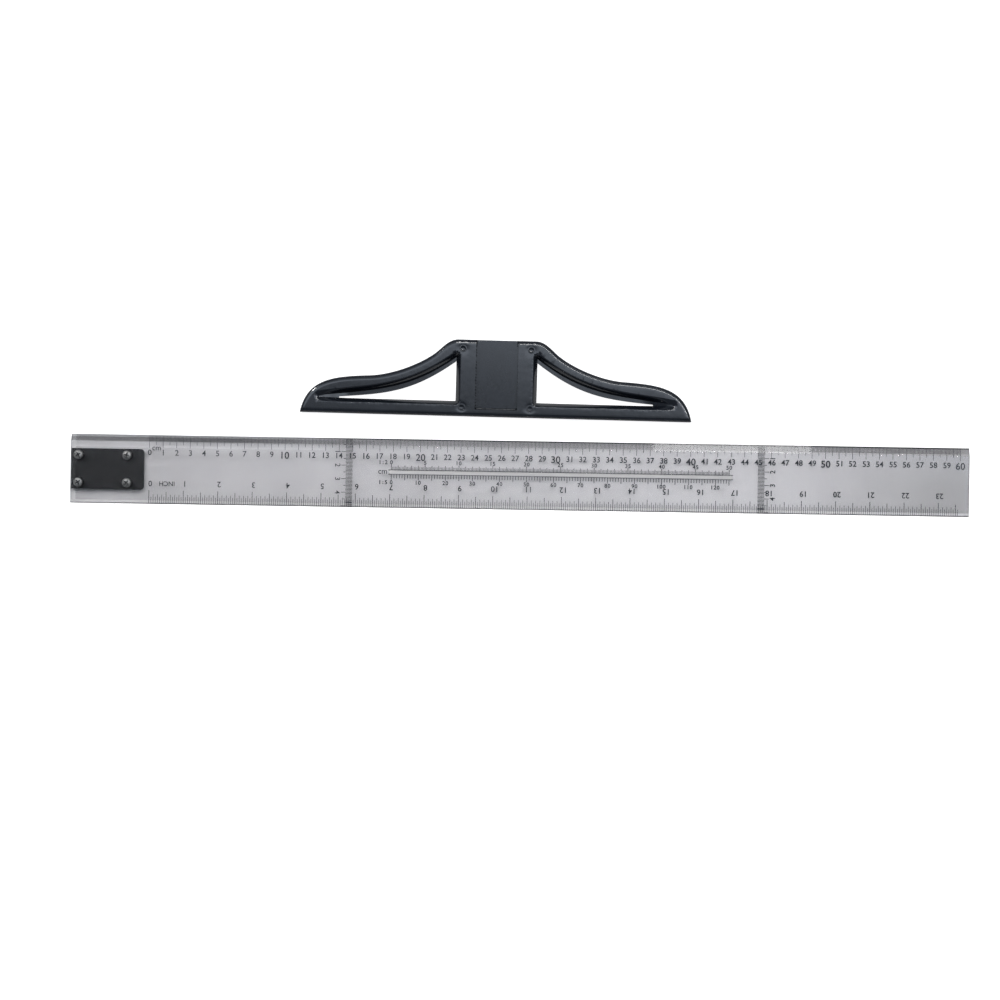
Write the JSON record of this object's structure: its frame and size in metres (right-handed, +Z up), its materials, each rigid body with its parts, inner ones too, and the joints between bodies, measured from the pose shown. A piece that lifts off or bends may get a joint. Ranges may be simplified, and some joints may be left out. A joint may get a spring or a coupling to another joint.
{
  "type": "t square",
  "caption": "Drafting T square with a clear graduated blade, a screwed-on tongue plate and a detachable moulded head laid beside it.",
  "frame": {"origin": "middle of the whole footprint, on the surface that the object lies on", "axes": "+X along the blade from the tongue end, +Y from the blade towards the head, +Z up"},
  "size_m": [0.664, 0.1252, 0.0102],
  "materials": {
    "clear_acrylic": "clear cast sheet, polished faces, printed on the underside",
    "matt_black_plastic": "fine moulded grain",
    "nickel_steel": "nickel plated, cold headed",
    "gloss_black_plastic": "smooth semi-gloss moulding, finely textured channel floor"
  },
  "bodies": {
    "blade_assembly": {"blade": "clear_acrylic", "tongue_plate": "matt_black_plastic", "screw_1": "nickel_steel", "screw_2": "nickel_steel", "screw_3": "nickel_steel", "screw_4": "nickel_steel"},
    "head": {"head": "gloss_black_plastic"}
  },
  "joints": [
    {"name": "head_slide", "type": "slide", "parent": "blade_assembly", "child": "head", "axis": [0.0108, 0.9999, 0], "range_m": [0, 0.0515]}
  ]
}
